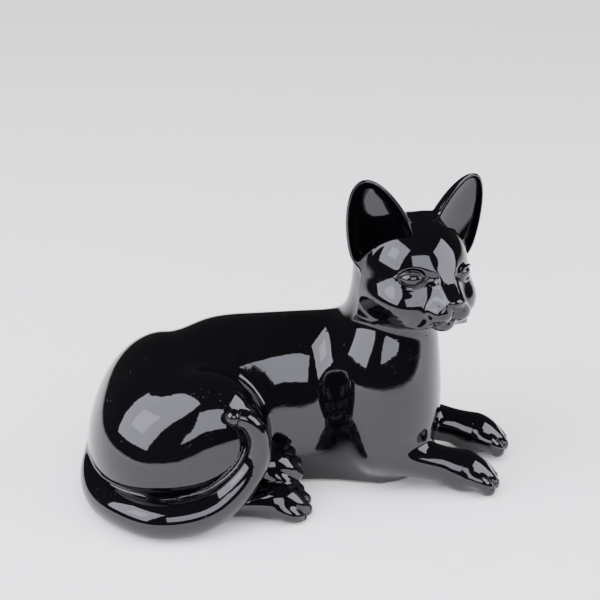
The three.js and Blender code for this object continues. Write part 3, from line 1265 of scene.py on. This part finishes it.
@dataclass(frozen=True)
class FeltPads:
    """The four felt pads, one disc repeated at each CAD pad.

    Attributes:
        nodes: The CAD nodes they stand for.
        chamfer: Size of the pressed edge, in metres.
    """

    nodes: tuple[str, ...] = ("rear_right_pad", "rear_left_pad", "front_right_pad", "front_left_pad")
    chamfer: float = 0.0003

    def build(self) -> bpy.types.Object:
        """Makes the pads with a Geometry Nodes tree, and applies it.

        Returns:
            The object that holds all four.
        """
        centres = []
        for node in self.nodes:
            low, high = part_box(node)
            centres.append(((low.x + high.x) / 2, (low.y + high.y) / 2, low.z))
        low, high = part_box(self.nodes[0])
        radius, height = (high.x - low.x) / 2, high.z - low.z
        mesh = bpy.data.meshes.new("pad_places")
        mesh.from_pydata(centres, [], [])
        source = bpy.data.objects.new("pad_places", mesh)
        bpy.context.scene.collection.objects.link(source)
        tree = self._tree()
        modifier = source.modifiers.new("pads", "NODES")
        modifier.node_group = tree
        sizes = {"Radius": radius, "Height": height, "Chamfer": self.chamfer}
        given = {**sizes, "Finish": Felt().material()}
        for item in tree.interface.items_tree:
            if item.item_type == "SOCKET" and item.in_out == "INPUT" and item.name in given:
                modifier[item.identifier] = given[item.name]
        graph = bpy.context.evaluated_depsgraph_get()
        plain = bpy.data.meshes.new_from_object(source.evaluated_get(graph), depsgraph=graph)
        obj = bpy.data.objects.new("felt_pads", plain)
        bpy.context.scene.collection.objects.link(obj)
        bpy.data.objects.remove(source)
        return obj

    @staticmethod
    def _tree() -> bpy.types.NodeTree:
        """The node tree: a disc with a fuzzy surface, set on every point.

        Returns:
            The tree, with its sizes and its finish as inputs.
        """
        tree = bpy.data.node_groups.new("felt_pads", "GeometryNodeTree")
        face = tree.interface
        face.new_socket("Geometry", in_out="INPUT", socket_type="NodeSocketGeometry")
        for name in ("Radius", "Height", "Chamfer"):
            face.new_socket(name, in_out="INPUT", socket_type="NodeSocketFloat")
        face.new_socket("Finish", in_out="INPUT", socket_type="NodeSocketMaterial")
        face.new_socket("Geometry", in_out="OUTPUT", socket_type="NodeSocketGeometry")
        add = tree.nodes.new
        link = tree.links.new
        start, end = add("NodeGroupInput"), add("NodeGroupOutput")
        disc = add("GeometryNodeMeshCylinder")
        disc.inputs["Vertices"].default_value = 72
        disc.inputs["Side Segments"].default_value = 6
        disc.inputs["Fill Segments"].default_value = 14
        link(start.outputs["Radius"], disc.inputs["Radius"])
        link(start.outputs["Height"], disc.inputs["Depth"])
        noise = add("ShaderNodeTexNoise")
        noise.inputs["Scale"].default_value = 900
        noise.inputs["Detail"].default_value = 3
        normal = add("GeometryNodeInputNormal")
        centred = add("ShaderNodeMath")
        centred.operation = "SUBTRACT"
        centred.inputs[1].default_value = 0.72
        link(noise.outputs["Fac"], centred.inputs[0])
        amount = add("ShaderNodeMath")
        amount.operation = "MULTIPLY"
        link(centred.outputs[0], amount.inputs[0])
        link(start.outputs["Chamfer"], amount.inputs[1])
        push = add("ShaderNodeVectorMath")
        push.operation = "SCALE"
        link(normal.outputs[0], push.inputs[0])
        link(amount.outputs[0], push.inputs["Scale"])
        merged = add("GeometryNodeMergeByDistance")
        merged.inputs["Distance"].default_value = 1e-6
        link(disc.outputs["Mesh"], merged.inputs["Geometry"])
        fuzz = add("GeometryNodeSetPosition")
        link(merged.outputs["Geometry"], fuzz.inputs["Geometry"])
        link(push.outputs[0], fuzz.inputs["Offset"])
        lift = add("GeometryNodeTransform")
        half = add("ShaderNodeMath")
        half.operation = "MULTIPLY"
        half.inputs[1].default_value = 0.5
        link(start.outputs["Height"], half.inputs[0])
        offset = add("ShaderNodeCombineXYZ")
        link(half.outputs[0], offset.inputs["Z"])
        link(fuzz.outputs["Geometry"], lift.inputs["Geometry"])
        link(offset.outputs[0], lift.inputs["Translation"])
        repeat = add("GeometryNodeInstanceOnPoints")
        link(start.outputs["Geometry"], repeat.inputs["Points"])
        link(lift.outputs["Geometry"], repeat.inputs["Instance"])
        real = add("GeometryNodeRealizeInstances")
        link(repeat.outputs["Instances"], real.inputs["Geometry"])
        finish = add("GeometryNodeSetMaterial")
        link(real.outputs["Geometry"], finish.inputs["Geometry"])
        link(start.outputs["Finish"], finish.inputs["Material"])
        link(finish.outputs["Geometry"], end.inputs["Geometry"])
        return tree

    def dress(self, obj: bpy.types.Object) -> None:
        """Ties the pads to their CAD nodes."""
        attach(obj, "root")
        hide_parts(*self.nodes)


# ---------------------------------------------------------------------------------------------
# The studio
# ---------------------------------------------------------------------------------------------


@dataclass(frozen=True)
class SoftBox:
    """A square soft light that shows in the glaze.

    Attributes:
        name: The light's name.
        round: How far round from the camera it hangs, in degrees, to the right.
        up: How high it hangs, in degrees.
        away: Its distance from the cat, in metres.
        size: Width and height.
        power: In watts.
        shows: Whether it shows in the glaze.
    """

    name: str
    round: float
    up: float
    away: float
    size: tuple[float, float]
    power: float
    shows: bool = True

    def build(self) -> bpy.types.Object:
        """Hangs the light.

        Returns:
            The light's object.
        """
        lamp = bpy.data.lights.new(self.name, "AREA")
        lamp.shape = "RECTANGLE"
        lamp.size, lamp.size_y = self.size
        lamp.energy = self.power
        lamp.color = (0.86, 0.86, 1.0) if self.shows else (1, 1, 0.98)
        obj = bpy.data.objects.new(self.name, lamp)
        across, up = math.radians(self.round), math.radians(self.up)
        cat_middle = Vector((0, 0, 0.08))
        away = Vector((math.sin(across) * math.cos(up), -math.cos(across) * math.cos(up), math.sin(up)))
        obj.location = cat_middle + away * self.away
        obj.rotation_euler = (-away).to_track_quat("-Z", "Y").to_euler()
        obj.visible_glossy = self.shows
        bpy.context.scene.collection.objects.link(obj)
        return obj


@dataclass(frozen=True)
class Studio:
    """A white floor, soft boxes and the camera.

    Attributes:
        reach: Half the width of the floor, in metres.
        elevation: Of the camera, in degrees.
        distance: From the camera to what it looks at.
        lens: In millimetres.
        sensor: Width of the sensor, in millimetres.
        ahead: How far along X from the cat's origin the camera looks, in metres.
        height: How high it looks.
        fill: Strength of the light from all round.
    """

    reach: float = 5.0
    elevation: float = 24
    distance: float = 1.2
    lens: float = 108.76
    sensor: float = 36
    ahead: float = 0.0036
    height: float = 0.115212
    fill: float = 0.06

    def build(self, origin: Array) -> None:
        """Sets up floor, lights and camera.

        Args:
            origin: Where the cat's own frame starts, in the row frame, in millimetres.
        """
        self._floor()
        middle = tuple(float(v) for v in origin * MM)
        for box in (
            SoftBox("left_box", -62, 38, 1.5, (1.5, 1.4), 50),
            SoftBox("left_core", -62, 38, 1.45, (0.55, 0.5), 3),
            SoftBox("near_box", 12, 30, 2.0, (1.3, 1.0), 26),
            SoftBox("right_box", 80, 28, 1.6, (1.1, 1.1), 30),
            SoftBox("room_light", 0, 89, 3.2, (4.5, 4.5), 230, shows=False),
        ):
            box.build()
        world = bpy.data.worlds.new("studio")
        world.use_nodes = True
        background = world.node_tree.nodes["Background"]
        background.inputs["Color"].default_value = (1, 1, 1, 1)
        background.inputs["Strength"].default_value = self.fill
        bpy.context.scene.world = world
        angle = math.radians(self.elevation)
        target = Vector((middle[0] + self.ahead, middle[1], middle[2] + self.height))
        camera = bpy.data.cameras.new("camera")
        camera.lens = self.lens
        camera.sensor_width = self.sensor
        camera.clip_start = 0.05
        obj = bpy.data.objects.new("camera", camera)
        obj.location = target + Vector((0, -math.cos(angle), math.sin(angle))) * self.distance
        obj.rotation_euler = (math.radians(90) - angle, 0, 0)
        bpy.context.scene.collection.objects.link(obj)
        bpy.context.scene.camera = obj

    def _floor(self) -> None:
        """A wide pale floor."""
        corners = ((-1, -1), (1, -1), (1, 1), (-1, 1))
        mesh = bpy.data.meshes.new("floor")
        mesh.from_pydata([(x * self.reach, y * self.reach, 0) for x, y in corners], [], [(0, 1, 2, 3)])
        obj = bpy.data.objects.new("floor", mesh)
        material, shader, place = blank_material("white_paper")
        tree = material.node_tree
        grain = place.noise(40, 3)
        tree.links.new(grain.blend((0.86, 0.86, 0.865), (0.9, 0.9, 0.9)).output, shader.inputs["Base Color"])
        shader.inputs["Roughness"].default_value = 0.9
        mesh.materials.append(material)
        bpy.context.scene.collection.objects.link(obj)


def cat_origin() -> Array:
    """Where the cat's own frame starts, in the row frame, in millimetres: a set place under one felt pad.

    Returns:
        The place.
    """
    low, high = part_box("front_right_pad")
    pad = np.array([(low.x + high.x) / 2, (low.y + high.y) / 2, low.z]) / MM
    pad_in_cat = np.array([57, -34, 0])
    return pad - pad_in_cat


def main() -> None:
    """Builds the figurine and the studio."""
    logging.basicConfig(level=logging.INFO, format="%(message)s")
    cat = Cat()
    origin = cat_origin()
    glaze = Glaze().material()
    for casting in castings(cat, 1.0):
        obj = casting.build(cat, origin)
        casting.dress(obj, glaze)
        LOG.info("%s: %d quads", obj.name, len(obj.data.polygons))
    pads = FeltPads()
    obj = pads.build()
    pads.dress(obj)
    LOG.info("%s: %d faces", obj.name, len(obj.data.polygons))
    Studio().build(origin)


if __name__ == "__main__":
    main()
